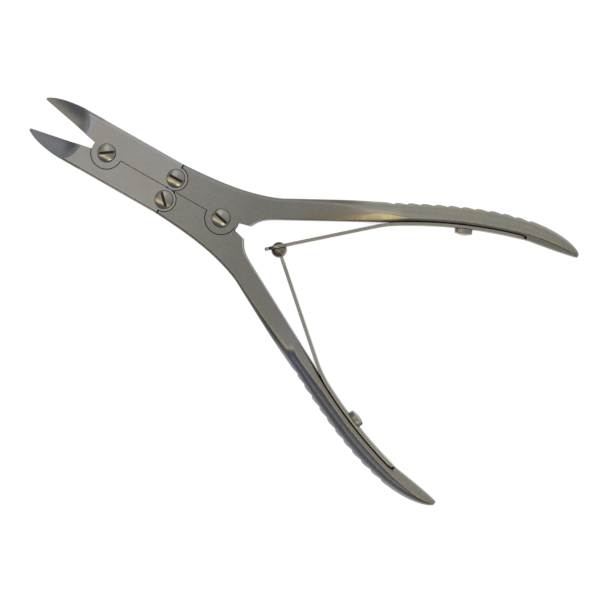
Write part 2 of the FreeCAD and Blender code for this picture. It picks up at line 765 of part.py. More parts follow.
def leaf_screw_hole(body, side):
    hole = new_sketch(body, f"{body.Label}_hole_sketch", offset=spring_screw_frame(side, 0.0))
    radius = cell("spring_shank_radius") + cell("spring_screw_clearance")
    hole.addGeometry(Part.Circle(Vector(), Vector(0, 0, 1), radius.value))
    hole.addConstraint(Sketcher.Constraint("Coincident", 0, 3, -1, 1))
    number = hole.addConstraint(Sketcher.Constraint("Radius", 0, radius.value))
    hole.setExpression(f"Constraints[{number}]", radius.text)
    cut = extrude(body, "Pocket", f"{body.Label}_hole", hole, cell("leaf_thickness") * 4, both_ways=True)
    must_change(body, cut, growing=False)


def tail_corners(side):
    """Rounded tail and parallel stretch of a leaf, as x and half-width, from the tail end."""
    half = cell("leaf_width").value / 2
    end = seat_point(cell("leaf_tail").value, leaf_mid).x + 1
    rounding = cell("leaf_tail_rounding").value
    return [
        (end, half * 0.45),
        (end - 1, half * 0.45),
        (end - 1 - rounding * 0.4, half * 0.8),
        (end - 1 - rounding, half),
    ]


socket_radius = cell("ball_radius").value + cell("ball_eye_clearance").value
eye_radius = math.sqrt(socket_radius ** 2 - (eye_offset + cell("leaf_thickness").value / 2) ** 2)
eye_half_width = eye_radius + cell("ball_eye_rim").value


def make_upper_leaf():
    name = "upper_spring_leaf"
    tongue = cell("tongue_length").value
    body = make_leaf(name, 1, eye_distance + tongue)
    along = abs(upper_direction.x)
    neck = cell("leaf_neck_width").value / 2
    eye_x = eye_centre.x
    corners = tail_corners(1)
    corners.append((upper_start.x, cell("leaf_width").value / 2))
    corners.append((eye_x + 1.45 * eye_half_width * along, neck))
    for angle in (55, 85, 115, 145):
        turned = math.radians(angle)
        corners.append((eye_x + eye_half_width * math.cos(turned) * along, eye_half_width * math.sin(turned)))
    corners.append((eye_x - (eye_half_width + 0.3) * along, 0.9))
    corners.append((eye_x - tongue * along * 0.96, 0.45))
    corners.append((eye_x - tongue * along - 1, 0.3))
    trim_leaf(body, 1, corners)
    leaf_screw_hole(body, 1)
    normal = Vector(-upper_direction.y, upper_direction.x, 0)
    upright = Vector(0, 0, 1)
    frame = Placement(eye_centre, Rotation(upright.cross(normal), upright, normal, "ZXY"))
    eye = new_sketch(body, f"{name}_eye_sketch", offset=frame)
    eye.addGeometry(Part.Circle(Vector(), Vector(0, 0, 1), eye_radius))
    cut = extrude(body, "Pocket", f"{name}_eye", eye, cell("leaf_thickness") * 2, both_ways=True)
    must_change(body, cut, growing=False)
    # The eye is hollowed to the ball, which can turn in it but can't pass through.
    socket = body.newObject("PartDesign::SubtractiveSphere", f"{name}_socket")
    socket.setExpression("Radius", "Sizes.ball_radius + Sizes.ball_eye_clearance")
    socket.Placement = Placement(ball_centre, Rotation())
    doc.recompute()
    must_change(body, socket, growing=False)
    return body


def make_lower_leaf():
    name = "lower_spring_leaf"
    distance = (ball_centre - lower_start).dot(lower_direction)
    tang = cell("ball_tang_width").value / 2
    body = make_leaf(name, -1, distance)
    along = abs(lower_direction.x)
    neck = cell("leaf_neck_width").value / 2
    ball_edge = ball_centre.x + (cell("ball_radius").value + 0.3) * along
    corners = tail_corners(-1)
    corners.append((lower_start.x, cell("leaf_width").value / 2))
    corners.append((ball_edge + 2.5, neck))
    corners.append((ball_edge, tang))
    corners.append((ball_centre.x - 1, tang))
    trim_leaf(body, -1, corners)
    leaf_screw_hole(body, -1)
    return body


def make_ball():
    """Ball with the slot that the end of the lower leaf is fixed in."""
    ball = doc.addObject("Part::Sphere", "ball_blank")
    ball.setExpression("Radius", "Sizes.ball_radius")
    ball.Placement = Placement(ball_centre, Rotation())
    slot = doc.addObject("Part::Box", "ball_slot")
    slot.setExpression("Length", "Sizes.ball_radius * 2")
    slot.setExpression("Width", "Sizes.leaf_thickness + 2 * Sizes.ball_tang_clearance")
    slot.setExpression("Height", "Sizes.ball_tang_width + 2 * Sizes.ball_tang_clearance")
    back = -lower_direction
    across = Vector(-back.y, back.x, 0)
    width = cell("leaf_thickness").value + 2 * cell("ball_tang_clearance").value
    height = cell("ball_tang_width").value + 2 * cell("ball_tang_clearance").value
    corner = ball_centre - across * (width / 2) - back * cell("ball_tang_clearance").value
    corner = corner - Vector(0, 0, height / 2)
    slot.Placement = Placement(corner, Rotation(back, across, Vector(0, 0, 1), "ZXY"))
    cut = doc.addObject("Part::Cut", "spring_ball")
    cut.Label = "spring_ball"
    cut.Base = ball
    cut.Tool = slot
    doc.recompute()
    return cut


def slotted_screw(name, profile, head_top, head_radius, slot_angle):
    """Turned screw with a dome and a driver slot; profile lists (radius, height) below the dome."""
    body = new_body(name)
    sketch = new_sketch(body, f"{name}_profile", plane="XZ_Plane")
    dome_radius, rim_height = profile[-1]
    outline = Outline(sketch, 0, profile[0][1])
    for radius, height in profile:
        outline.line(radius, height)
    rise = measure(head_top) - rim_height
    chord = math.hypot(dome_radius.value, rise.value)
    outline.arc(0, head_top, -rise.value * dome_radius.value / chord * 0.5)
    outline.line(0, profile[0][1])
    outline.close()
    turned = body.newObject("PartDesign::Revolution", f"{name}_turned")
    turned.Profile = sketch
    turned.ReferenceAxis = (sketch, ["V_Axis"])
    turned.Angle = 360
    doc.recompute()
    above_head = Placement(Vector(0, 0, measure(head_top).value + 1), Rotation(Vector(0, 0, 1), slot_angle))
    slot = new_sketch(body, f"{name}_slot_sketch", offset=above_head)
    half = cell("slot_width") / 2
    reach = head_radius + 1
    outline = Outline(slot, -reach, -half)
    outline.line(reach, -half)
    outline.line(reach, half)
    outline.line(-reach, half)
    outline.line(-reach, -half)
    outline.close()
    must_change(body, extrude(body, "Pocket", f"{name}_slot", slot, cell("slot_depth") + 1), False)
    return body


def make_pivot_screw(name, x, y, slot_angle):
    seat_height = face_height - cell("head_sunk")
    rim_height = face_height + cell("head_proud")
    head = cell("head_radius")
    shank = cell("pivot_shank_radius")
    thread = cell("pivot_thread_radius")
    profile = [
        (thread, -face_height),
        (thread, half_lap),
        (shank, half_lap),
        (shank, seat_height),
        (head, seat_height),
        (head, rim_height),
    ]
    body = slotted_screw(name, profile, rim_height + cell("head_dome"), head, slot_angle)
    body.Placement = Placement(Vector(measure(x).value, measure(y).value, 0), Rotation())
    return body


def make_spring_screw(name, side, slot_angle):
    """Screw along Z, with Z = 0 on the spring seat; its head bears on the leaf."""
    under_head = cell("seat_clearance") + cell("leaf_thickness") + cell("spring_head_lift")
    rim_height = under_head + cell("spring_head_height")
    head = cell("spring_head_radius")
    shank = cell("spring_shank_radius")
    profile = [
        (shank, -cell("spring_screw_depth")),
        (shank, under_head),
        (head, under_head),
        (head, rim_height),
    ]
    body = slotted_screw(name, profile, rim_height + cell("spring_head_dome"), head, slot_angle)
    body.Placement = spring_screw_frame(side, 0.0)
    return body


link_y = cell("link_offset")
pieces = [
    make_jaw("upper_jaw", 1, True),
    make_jaw("lower_jaw", -1, False),
    make_handle("upper_handle", 1, True),
    make_handle("lower_handle", -1, False),
    make_pivot_screw("jaw_pivot_screw", jaw_pivot_x, 0, 34),
    make_pivot_screw("upper_link_screw", link_x, link_y, 1),
    make_pivot_screw("lower_link_screw", link_x, -link_y, -44),
    make_pivot_screw("handle_pivot_screw", 0, 0, -12),
    make_upper_leaf(),
    make_lower_leaf(),
    make_ball(),
    make_spring_screw("upper_spring_screw", 1, 20),
    make_spring_screw("lower_spring_screw", -1, -35),
]

# The part stands on Z = 0 with its origin under the centre of its footprint.
whole = FreeCAD.BoundBox()
for piece in pieces:
    whole.add(piece.Shape.optimalBoundingBox(False, False))
to_origin = Placement(Vector(-whole.Center.x, -whole.Center.y, -whole.ZMin), Rotation())
for piece in pieces:
    piece.Placement = to_origin.multiply(piece.Placement)
doc.recompute()

for item in doc.Objects:
    if "Invalid" in item.State or "Error" in item.State:
        raise RuntimeError(f"{item.Label} failed: {item.State}")
for piece in pieces:
    if piece.Shape.isNull() or not piece.Shape.isValid():
        raise RuntimeError(f"{piece.Label} has no valid shape")

os.makedirs("parts", exist_ok=True)
for piece in pieces:
    piece.Shape.exportStep(f"parts/{piece.Label}.step")
    box = piece.Shape.optimalBoundingBox(False, False)
    spans = [(box.XMin, box.XMax), (box.YMin, box.YMax), (box.ZMin, box.ZMax)]
    spans = ", ".join(f"{low:.2f} to {high:.2f}" for low, high in spans)
    print(f"{piece.Label}: {len(piece.Shape.Solids)} solid, volume {piece.Shape.Volume:.1f}, {spans}")
print(f"handle pivot at x {-whole.Center.x:.3f}, y {-whole.Center.y:.3f}, whole length {whole.XLength:.2f}")
print(f"ball centre {ball_centre.x:.3f}, {ball_centre.y:.3f} from the pivot, eye offset {eye_offset:.3f}")
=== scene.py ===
import bpy
import bmesh
import math
import numpy as np
from mathutils import Matrix, Vector


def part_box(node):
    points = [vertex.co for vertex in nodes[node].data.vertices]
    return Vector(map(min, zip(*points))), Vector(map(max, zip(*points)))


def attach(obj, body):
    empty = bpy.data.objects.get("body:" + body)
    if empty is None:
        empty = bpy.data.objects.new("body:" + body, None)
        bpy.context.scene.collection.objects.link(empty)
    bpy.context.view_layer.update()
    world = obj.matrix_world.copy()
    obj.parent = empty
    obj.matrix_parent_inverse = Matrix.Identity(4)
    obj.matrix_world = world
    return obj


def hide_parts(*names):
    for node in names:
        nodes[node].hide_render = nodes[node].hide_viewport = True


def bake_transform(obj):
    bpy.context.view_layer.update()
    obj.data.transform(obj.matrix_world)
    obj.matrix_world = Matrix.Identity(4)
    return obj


# Bone cutting forceps lying flat, jaws towards -X, seen from above.
# Plans are written in millimetres about the handle pivot, with height 0 half-way through the steel.

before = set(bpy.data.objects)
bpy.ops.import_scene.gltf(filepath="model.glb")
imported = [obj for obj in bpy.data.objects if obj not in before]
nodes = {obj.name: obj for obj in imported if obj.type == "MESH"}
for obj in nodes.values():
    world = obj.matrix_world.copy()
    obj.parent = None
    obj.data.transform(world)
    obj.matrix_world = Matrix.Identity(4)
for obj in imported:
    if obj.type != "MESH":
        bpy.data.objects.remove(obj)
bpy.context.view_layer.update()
mm = 0.001
steelThickness = 7.6
pivotLow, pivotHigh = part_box("handle_pivot_screw")
origin = np.array([(pivotLow.x + pivotHigh.x) / 2, 0.0, steelThickness / 2 * mm])


def place(points):
    # millimetres about the handle pivot, to metres in the frame
    return np.asarray(points, float) * mm + origin


# lines of the handles in plan, shared by their finish, the leaves and the spring screws

shankEdge = {"start": (18.0, 9.73), "slope": math.radians(28.3), "length": 38.27}  # straight inner edge
seatArc = {"slope": math.radians(31.4), "radius": 158.0}  # spring seat, bowed outwards from that edge's end
edgeLean = np.array([math.cos(shankEdge["slope"]), math.sin(shankEdge["slope"])])
seatStart = np.array(shankEdge["start"]) + edgeLean * shankEdge["length"]
seatNormal = np.array([math.sin(seatArc["slope"]), -math.cos(seatArc["slope"])])
seatCentre = seatStart + seatNormal * seatArc["radius"]


# meshes from grids

def gridFaces(rows, columns, closeRows=False, closeColumns=False):
    # quads of a rows x columns grid of points, as one index array
    r = np.arange(rows if closeRows else rows - 1)
    c = np.arange(columns if closeColumns else columns - 1)
    rr, cc = np.meshgrid(r, c, indexing="ij")
    rNext, cNext = (rr + 1) % rows, (cc + 1) % columns
    here, below = rr * columns, rNext * columns
    return np.stack([here + cc, here + cNext, below + cNext, below + cc], -1).reshape(-1, 4)


def meshPiece(name, shells, material, sharpAngle=38):
    # shells: list of (points in millimetres, quads); doubles are merged and normals turned outwards
    points = np.concatenate([p.reshape(-1, 3) for p, q in shells])
    counts = np.cumsum([0] + [p.reshape(-1, 3).shape[0] for p, q in shells])
    quads = np.concatenate([q + start for (p, q), start in zip(shells, counts)])
    mesh = bpy.data.meshes.new(name)
    mesh.from_pydata(place(points).tolist(), [], quads.tolist())
    work = bmesh.new()
    work.from_mesh(mesh)
    bmesh.ops.remove_doubles(work, verts=work.verts, dist=2e-7)
    bmesh.ops.dissolve_degenerate(work, edges=work.edges, dist=1e-7)
    bmesh.ops.recalc_face_normals(work, faces=work.faces)
    work.to_mesh(mesh)
    work.free()
    mesh.shade_smooth()
    mesh.set_sharp_from_angle(angle=math.radians(sharpAngle))
    piece = bpy.data.objects.new(name, mesh)
    bpy.context.scene.collection.objects.link(piece)
    mesh.materials.append(material)
    return piece


# materials

class Signal:
    # one output socket of a material; arithmetic on it adds Math nodes
    def __init__(self, finish, socket):
        self.finish = finish
        self.socket = socket

    def maths(self, operation, *values):
        return self.finish.add("ShaderNodeMath", {"operation": operation}, dict(enumerate(values)))

    def __add__(self, other):
        return self.maths("ADD", self, other)

    def __radd__(self, other):
        return self.maths("ADD", other, self)

    def __sub__(self, other):
        return self.maths("SUBTRACT", self, other)

    def __rsub__(self, other):
        return self.maths("SUBTRACT", other, self)

    def __mul__(self, other):
        return self.maths("MULTIPLY", self, other)

    def __rmul__(self, other):
        return self.maths("MULTIPLY", other, self)

    def __truediv__(self, other):
        return self.maths("DIVIDE", self, other)

    def __pow__(self, other):
        return self.maths("POWER", self, other)

    def __abs__(self):
        return self.maths("ABSOLUTE", self)

    def most(self, other):
        return self.maths("MAXIMUM", self, other)

    def between(self, low, high):
        # smooth step from 0 at low to 1 at high
        limits = {"Value": self, "From Min": low, "From Max": high}
        return self.finish.add("ShaderNodeMapRange", {"interpolation_type": "SMOOTHSTEP"}, limits)


class Finish:
    # the node tree of a material or of the world
    def __init__(self, owner):
        self.owner = owner
        owner.use_nodes = True
        self.tree = owner.node_tree
        self.tree.nodes.clear()

    def add(self, kind, settings=None, values=None, output=0):
        node = self.tree.nodes.new(kind)
        for key, value in (settings or {}).items():
            if key == "stops":
                ramp = node.color_ramp
                while len(ramp.elements) < len(value):
                    ramp.elements.new(0.5)
                for element, (position, colour) in zip(ramp.elements, value):
                    element.position = position
                    element.color = (*colour, 1.0)
            else:
                setattr(node, key, value)
        for key, value in (values or {}).items():
            if isinstance(value, Signal):
                self.tree.links.new(value.socket, node.inputs[key])
            else:
                node.inputs[key].default_value = value
        return Signal(self, node.outputs[output]) if len(node.outputs) else None

    def mixColour(self, factor, first, second, blend="MIX"):
        first = (*first, 1.0) if isinstance(first, tuple) else first
        second = (*second, 1.0) if isinstance(second, tuple) else second
        settings = {"data_type": "RGBA", "blend_type": blend}
        return self.add("ShaderNodeMix", settings, {0: factor, 6: first, 7: second}, output=2)

    def mixVector(self, factor, first, second):
        return self.add("ShaderNodeMix", {"data_type": "VECTOR"}, {0: factor, 4: first, 5: second}, output=1)

    def vectorMaths(self, operation, *values, output=0):
        return self.add("ShaderNodeVectorMath", {"operation": operation}, dict(enumerate(values)), output)

    def turnNormal(self, normal, start, end):
        spaces = {"vector_type": "NORMAL", "convert_from": start, "convert_to": end}
        return self.add("ShaderNodeVectorTransform", spaces, {0: normal})

    def parts(self, vector):
        node = self.add("ShaderNodeSeparateXYZ", None, {0: vector}).socket.node
        return [Signal(self, socket) for socket in node.outputs]

    def noise(self, vector, scale, detail=3.0, roughness=0.55):
        values = {"Vector": vector, "Scale": scale, "Detail": detail, "Roughness": roughness}
        return self.add("ShaderNodeTexNoise", None, values)

    def stretched(self, vector, angle, frequencies):
        # the pattern turned about Z and drawn out: frequencies along and across the turned X axis
        along, across = frequencies
        turned = {"Vector": vector, "Rotation": (0.0, 0.0, -angle)}
        turned = self.add("ShaderNodeMapping", {"vector_type": "POINT"}, turned)
        return self.vectorMaths("MULTIPLY", turned, (along, across, across))

    def plan(self):
        # x, y and height in millimetres about the handle pivot
        position = self.add("ShaderNodeTexCoord", output="Object")
        x, y, z = ((part - float(start)) * (1 / mm) for part, start in zip(self.parts(position), origin))
        return position, x, y, z

    def exposure(self, distance, samples=4):
        # 1 in the open, 0 where other surfaces within the distance close the view
        return self.add("ShaderNodeAmbientOcclusion", {"samples": samples}, {"Distance": distance}, output="AO")

    def surface(self, values):
        shader = self.add("ShaderNodeBsdfPrincipled", None, values)
        self.add("ShaderNodeOutputMaterial", None, {"Surface": shader})


def newFinish(name):
    return Finish(bpy.data.materials.new(name))


def edgeMask(finish, radius):
    # 1 along edges and corners, 0 on open faces: a step on 1 - the dot of the rounded and the flat normal
    rounded = finish.add("ShaderNodeBevel", {"samples": 4}, {"Radius": radius})
    flat = finish.add("ShaderNodeNewGeometry", output="Normal")
    apart = 1 - finish.vectorMaths("DOT_PRODUCT", rounded, flat, output="Value")
    return apart.between(0.01, 0.16), rounded


def near(signal, inner, outer):
    # 1 where the signal is within inner of zero, 0 beyond outer
    return 1 - abs(signal).between(inner, outer)


def upperSide(y):
    # 1 over the upper handle, 0 over the lower one
    return y.between(-0.1, 0.1)


def ringDistance(x, y, centre):
    # distance from a centre in plan: the root of dx2 + dy2
    dx, dy = x - float(centre[0]), y - float(centre[1])
    return (dx * dx + dy * dy) ** 0.5


grip = {
    "roundness": 1.0, "roundOver": (26.0, 40.0),  # radius that normals blend over, and where it is reached
    "level": (0.93, 0.965), "top": (3.0, 3.3),  # uprightness and height of the flat
    "roll": 0.164, "rollOver": (13.0, 29.0), "rollBack": 0.095, "backOver": (30.0, 33.8),
    "rollEnd": (33.9, 34.1), "rollAcross": (1.2, 4.4), "rollFade": 0.75,
    "turnOut": 0.62, "ridge": 1.3, "ridgeBlend": (-0.5, 0.6), "ridgeLead": 1.7, "leadOver": (43.0, 61.0),
    "upperLead": 0.7, "upperBack": 0.3, "upperBegins": (33.0, 52.0), "lowerBegins": (40.5, 44.5),
}


def rolledNormal(finish, x, y, z, edged):
    # normal = rounded normal + roll across the shank's edge + turn away from the seat's centre, at unit length.
    # The grips are ground round, so their normals blend over a wide radius. The flat of the shank rolls over
    # towards the leaf, most at its inner edge, up to where the grip starts. On the grip the flat turns outwards
    # beyond a ridge line that runs beside the leaf.
    wide = x.between(*grip["roundOver"])
    turn = finish.add("ShaderNodeBevel", {"samples": 8}, {"Radius": wide * (grip["roundness"] * mm)})
    own = finish.turnNormal(finish.mixVector(wide, edged, turn), "WORLD", "OBJECT")
    flat = finish.add("ShaderNodeNewGeometry", output="Normal")
    level = abs(finish.parts(finish.turnNormal(flat, "WORLD", "OBJECT"))[2]).between(*grip["level"])
    upper = upperSide(y)
    (startX, startY), (c, s) = shankEdge["start"], edgeLean.tolist()
    along = (x - startX) * c + (abs(y) - startY) * s
    across = (abs(y) - startY) * c - (x - startX) * s
    roll = along.between(*grip["rollOver"]) * grip["roll"] - along.between(*grip["backOver"]) * grip["rollBack"]
    roll = roll * (1 - along.between(*grip["rollEnd"])) * abs(z).between(*grip["top"])
    roll = roll * (1 - across.between(*grip["rollAcross"]) * grip["rollFade"])
    centreX, centreY = seatCentre.tolist()
    far = ringDistance(x, abs(y), seatCentre)
    lead = (upper * grip["upperLead"] + grip["ridgeLead"]) * (1 - x.between(*grip["leadOver"]))
    ridge = grip["ridge"] + lead - upper * grip["upperBack"]
    begins = upper * x.between(*grip["upperBegins"]) + (1 - upper) * x.between(*grip["lowerBegins"])
    beyond = (far - seatArc["radius"] - ridge).between(*grip["ridgeBlend"]) * begins
    turnOut = beyond * level * grip["turnOut"]
    leanX = roll * s + turnOut * (x - centreX) / far
    leanY = roll * -c + turnOut * (abs(y) - centreY) / far
    lean = finish.add("ShaderNodeCombineXYZ", None, {0: leanX, 1: leanY * ((upper - 0.5) * 2), 2: 0.0})
    own = finish.vectorMaths("NORMALIZE", finish.vectorMaths("ADD", own, lean))
    return finish.turnNormal(own, "OBJECT", "WORLD"), beyond


seams = {
    "pivotLobes": ((-45.0, 0.0, 5.49), (0.0, 0.0, 5.59)),  # centre and radius of each lobe
    "linkLobes": ((-20.05, 4.1, 4.09), (-20.05, -4.1, 4.09)),
    "pivotBlend": (-0.1, 0.3), "linkBlend": (-0.3, 0.3), "middleBlend": (0.1, 0.4),
    "lineCore": 0.08, "line": 0.23, "straightCore": 0.05, "straightLine": 0.17,
    "straightMiddle": -22.3, "straightReach": (16.6, 17.0),
    "notchAt": -20.05, "notchCore": 0.12, "notch": 0.42, "notchOut": (7.6, 8.4), "heights": (2.2, 3.2),
}


def seamMask(x, y, z):
    # oil-darkened lines where the levers meet: arcs round the lobes, a straight seam, notches at the outer ends.
    # An arc is near(distance to the lobe's centre - its radius), kept to the side where the lobe is on top.
    face = (z.between(-0.1, 0.1) - 0.5) * 2
    straight = near(y, seams["straightCore"], seams["straightLine"])
    mask = straight * near(x - seams["straightMiddle"], *seams["straightReach"])
    for centreX, centreY, radius in seams["pivotLobes"]:
        line = near(ringDistance(x, y, (centreX, centreY)) - radius, seams["lineCore"], seams["line"])
        mask = mask.most(line * (y * face * -1).between(*seams["pivotBlend"]))
    for centreX, centreY, radius in seams["linkLobes"]:
        line = near(ringDistance(x, y, (centreX, centreY)) - radius, seams["lineCore"], seams["line"])
        there = ((x - centreX) * face).between(*seams["linkBlend"]) * abs(y).between(*seams["middleBlend"])
        mask = mask.most(line * there)
    notch = near(x - seams["notchAt"], seams["notchCore"], seams["notch"]) * abs(y).between(*seams["notchOut"])
    return mask.most(notch) * abs(z).between(*seams["heights"])


def handleColour(finish, colour, look, x, y, z, facet):
    # colours multiplied in along the handles: warm grips that also paint a warm reflection, a painted cool
    # reflection on the lower facet, painted shade on the side walls, and along the inner edge of the upper shank
    # a painted gold reflection ending in a painted glint; above = height over the line of that edge
    upper = upperSide(y)
    # warm tint of the grips, which also paints in the warm reflection on their lands
    colour = finish.mixColour(upper * x.between(*look["upperWarmOver"]), colour, look["gripWarmthAndReflection"], "MULTIPLY")
    lower = 1 - upper
    colour = finish.mixColour(lower * x.between(*look["lowerWarmOver"]), colour, look["gripWarmthAndReflection"], "MULTIPLY")
    # painted cool reflection on the lower grip's outward-turned facet
    colour = finish.mixColour(lower * facet, colour, look["facetCoolReflection"], "MULTIPLY")
    # painted shade on the side walls of the shanks
    wall = (1 - abs(z).between(*look["wallHeights"])) * (1 - x.between(*look["wallEnds"])) * look["wallShade"]
    colour = finish.mixColour(wall, colour, look["dark"])
    startX, startY = look["glintLine"]
    above = (y - startY) * float(edgeLean[0]) - (x - startX) * float(edgeLean[1])
    # painted gold reflection along the upper shank's inner edge, ending in a painted glint
    for tint, begins, ends, heights in (look["goldReflection"], look["glint"]):
        along = x.between(*begins) * (1 - x.between(*ends)) * upper
        colour = finish.mixColour(along * (1 - above.between(*heights)), colour, tint, "MULTIPLY")
    return colour


def bladeColour(finish, colour, look, x, y, z):
    # hollow-ground faces are all that lies below the flat ahead of the jaw pivot: they have their own tone,
    # with painted shade towards the cutting edge on one jaw, and a painted violet sheen on the flat round their
    # ends
    flat = abs(z).between(*look["flatHeights"])
    ground = (1 - flat) * (1 - x.between(*look["bladeEnds"]))
    colour = finish.mixColour(ground * look["bladeShare"], colour, look["bladeTone"])
    # painted shade, darker towards the cutting edge
    edge = (1 - abs(y).between(*look["edgeOver"])) * (1 - x.between(*look["edgeEnds"]))
    colour = finish.mixColour(ground * look["edgeShade"] * edge, colour, look["dark"])
    # painted violet sheen on the flat round the ends of the hollow grind
    sheen = near(x - look["sheenAt"], *look["sheenReach"]) * flat * look["sheenShare"]
    return finish.mixColour(sheen, colour, look["violetSheen"]), ground


def leafShadowBand(x, y, z, look):
    # painted shadow on the bevel beside the leaf: between two distances out from the seat's arc, along the
    # length of the leaf
    out = ringDistance(x, abs(y), seatCentre) - seatArc["radius"]
    band = out.between(*look["bandInner"]) * (1 - out.between(*look["bandOuter"]))
    band = band * x.between(*look["bandStart"]) * (1 - x.between(*look["bandEnd"]))
    return band * abs(z).between(*look["bandHeights"])


def steelFinish(name, look):
    # satin stainless steel. Tint: warm, cool and violet clouds, scaled by 1 + the sum of depth x (noise - 1/2)
    # for stretched grain, finer grain, cloud and mottle. Over it: worn edges, painted shade in corners, dark
    # seams
    finish = newFinish(name)
    position, x, y, z = finish.plan()
    grain = finish.noise(finish.stretched(position, look["grainAngle"], look["grain"]), 1.0, 4.0, 0.65)
    fineAngle = look["grainAngle"] + look["fineTurn"]
    fine = finish.noise(finish.stretched(position, fineAngle, look["fineGrain"]), 1.0, 2.0)
    cloud = finish.noise(position, look["cloudScale"], 3.0, 0.6)
    patch = finish.noise(position, look["patchScale"], 2.0, 0.5)
    mottle = finish.noise(position, look["mottleScale"], 2.0, 0.7)
    tint = finish.mixColour(cloud.between(*look["coolOver"]), look["warm"], look["cool"])
    tint = finish.mixColour(patch.between(*look["violetOver"]) * look["violetShare"], tint, look["violet"])
    shade = (grain - 0.5) * look["grainDepth"] + (fine - 0.5) * look["fineDepth"] + 1.0
    shade = shade + (cloud - 0.5) * look["cloudDepth"] + (mottle - 0.5) * look["mottle"]
    # painted shade: the shank darker between its head and its grip
    if look.get("shankShade"):
        shank = x.between(*look["shankFrom"]) * (1 - x.between(*look["shankTo"]))
        shade = shade * (1 - shank * look["shankShade"])
    colour = finish.add("ShaderNodeVectorMath", {"operation": "SCALE"}, {0: tint, "Scale": shade})
    radius = look["edge"] * mm
    if look.get("outerEdge"):
        radius = (look["edge"] + abs(y).between(*look["outerOver"]) * (look["outerEdge"] - look["edge"])) * mm
    worn, rounded = edgeMask(finish, radius)
    if look.get("gripWarmthAndReflection"):
        rounded, facet = rolledNormal(finish, x, y, z, rounded)
        colour = handleColour(finish, colour, look, x, y, z, facet)
    colour = finish.mixColour(worn * look["edgeShine"], colour, look["bright"])
    # painted shade in corners and recesses, where other surfaces close the view; the dark seams are added to it
    shadeAndSeams = (1 - finish.exposure(look["cornerReach"] * mm).between(*look["cornerOver"])) * look["shadeAndSeams"]
    if look.get("seams"):
        shadeAndSeams = shadeAndSeams.most(seamMask(x, y, z) * look["seams"])
    # painted shadow on the bevel beside the leaf
    if look.get("leafShadowShare"):
        shadeAndSeams = shadeAndSeams.most(leafShadowBand(x, y, z, look) * look["leafShadowShare"])
    rough = look["roughness"] + (grain - 0.5) * look["grainGloss"] + (patch - 0.5) * look["patchGloss"]
    rough = rough - worn * look["wornGloss"] + shadeAndSeams * look["shadeAndSeamsGloss"]
    if look.get("bladeTone"):
        colour, ground = bladeColour(finish, colour, look, x, y, z)
        rough = rough + ground * look["bladeGloss"]
    colour = finish.mixColour(shadeAndSeams, colour, look["dark"])
    height = grain * 0.7 + fine * 0.3
    bump = {"Strength": look["bump"], "Distance": look["grainHeight"] * mm, "Height": height, "Normal": rounded}
    bump = finish.add("ShaderNodeBump", None, bump)
    finish.surface({"Base Color": colour, "Metallic": 1.0, "Roughness": rough, "Normal": bump})
    return finish.owner


def polishedFinish(name, look):
    # polished steel: faint straw clouds, specks in its gloss, painted shade in corners and in the driver slots
    finish = newFinish(name)
    position = finish.add("ShaderNodeTexCoord", output="Object")
    cloud = finish.noise(position, look["cloudScale"], 3.0, 0.6)
    speck = finish.noise(position, look["speckScale"], 2.0, 0.5)
    colour = finish.mixColour(cloud.between(*look["coolOver"]), look["warm"], look["cool"])
    worn, rounded = edgeMask(finish, look["edge"] * mm)
    colour = finish.mixColour(worn * look["edgeShine"], colour, look["bright"])
    # painted shade in corners, and below it in the driver slots by their depth
    shadeAndSeams = (1 - finish.exposure(look["cornerReach"] * mm).between(*look["cornerOver"])) * look["shadeAndSeams"]
    if look.get("slotShade"):
        cut = finish.add("ShaderNodeAttribute", {"attribute_name": "slotDepth"}, output="Fac")
        shadeAndSeams = shadeAndSeams.most(cut.between(0.2, 0.7) * look["slotShade"])
    colour = finish.mixColour(shadeAndSeams, colour, look["dark"])
    rough = look["roughness"] + (speck - 0.5) * look["speckGloss"] + (cloud - 0.5) * look["cloudGloss"]
    rough = rough + shadeAndSeams * look["shadeAndSeamsGloss"]
    bump = {"Strength": look["bump"], "Distance": look["speckHeight"] * mm, "Height": speck, "Normal": rounded}
    bump = finish.add("ShaderNodeBump", None, bump)
    finish.surface({"Base Color": colour, "Metallic": 1.0, "Roughness": rough, "Normal": bump})
    return finish.owner


steelLook = {
    "warm": (0.375, 0.368, 0.358), "cool": (0.35, 0.36, 0.37), "violet": (0.36, 0.35, 0.385),
    "coolOver": (0.36, 0.64), "violetOver": (0.52, 0.72), "violetShare": 0.55,
    "bright": (0.50, 0.49, 0.46), "dark": (0.022, 0.021, 0.020), "bump": 0.35, "grainHeight": 0.02,
    "roughness": 0.30, "grainGloss": 0.16, "patchGloss": 0.10, "wornGloss": 0.08, "shadeAndSeamsGloss": 0.2,
    "grainAngle": 0.0, "grain": (260, 5200), "grainDepth": 0.24,
    "fineTurn": 0.5, "fineGrain": (900, 9000), "fineDepth": 0.22,
    "cloudScale": 95.0, "cloudDepth": 0.20, "patchScale": 42.0, "mottleScale": 1250.0, "mottle": 0.12,
    "edge": 0.14, "outerEdge": 0.42, "outerOver": (5.5, 7.5), "edgeShine": 0.25, "seams": 0.93,
    "shadeAndSeams": 0.9, "cornerReach": 1.2, "cornerOver": (0.2, 0.75),
}
jawLook = dict(
    steelLook, bladeShare=0.88, bladeGloss=0.12, flatHeights=(3.70, 3.79), bladeEnds=(-52.0, -50.0),
    edgeOver=(1.5, 7.0), edgeEnds=(-58.0, -54.0), sheenAt=-54.3, sheenReach=(0.1, 1.5), sheenShare=0.5,
)
upperJawLook = dict(jawLook, bladeTone=(0.228, 0.24, 0.28), violetSheen=(0.40, 0.36, 0.56), edgeShade=0.0)
lowerJawLook = dict(jawLook, bladeTone=(0.190, 0.198, 0.228), violetSheen=(0.36, 0.34, 0.40), edgeShade=0.42)
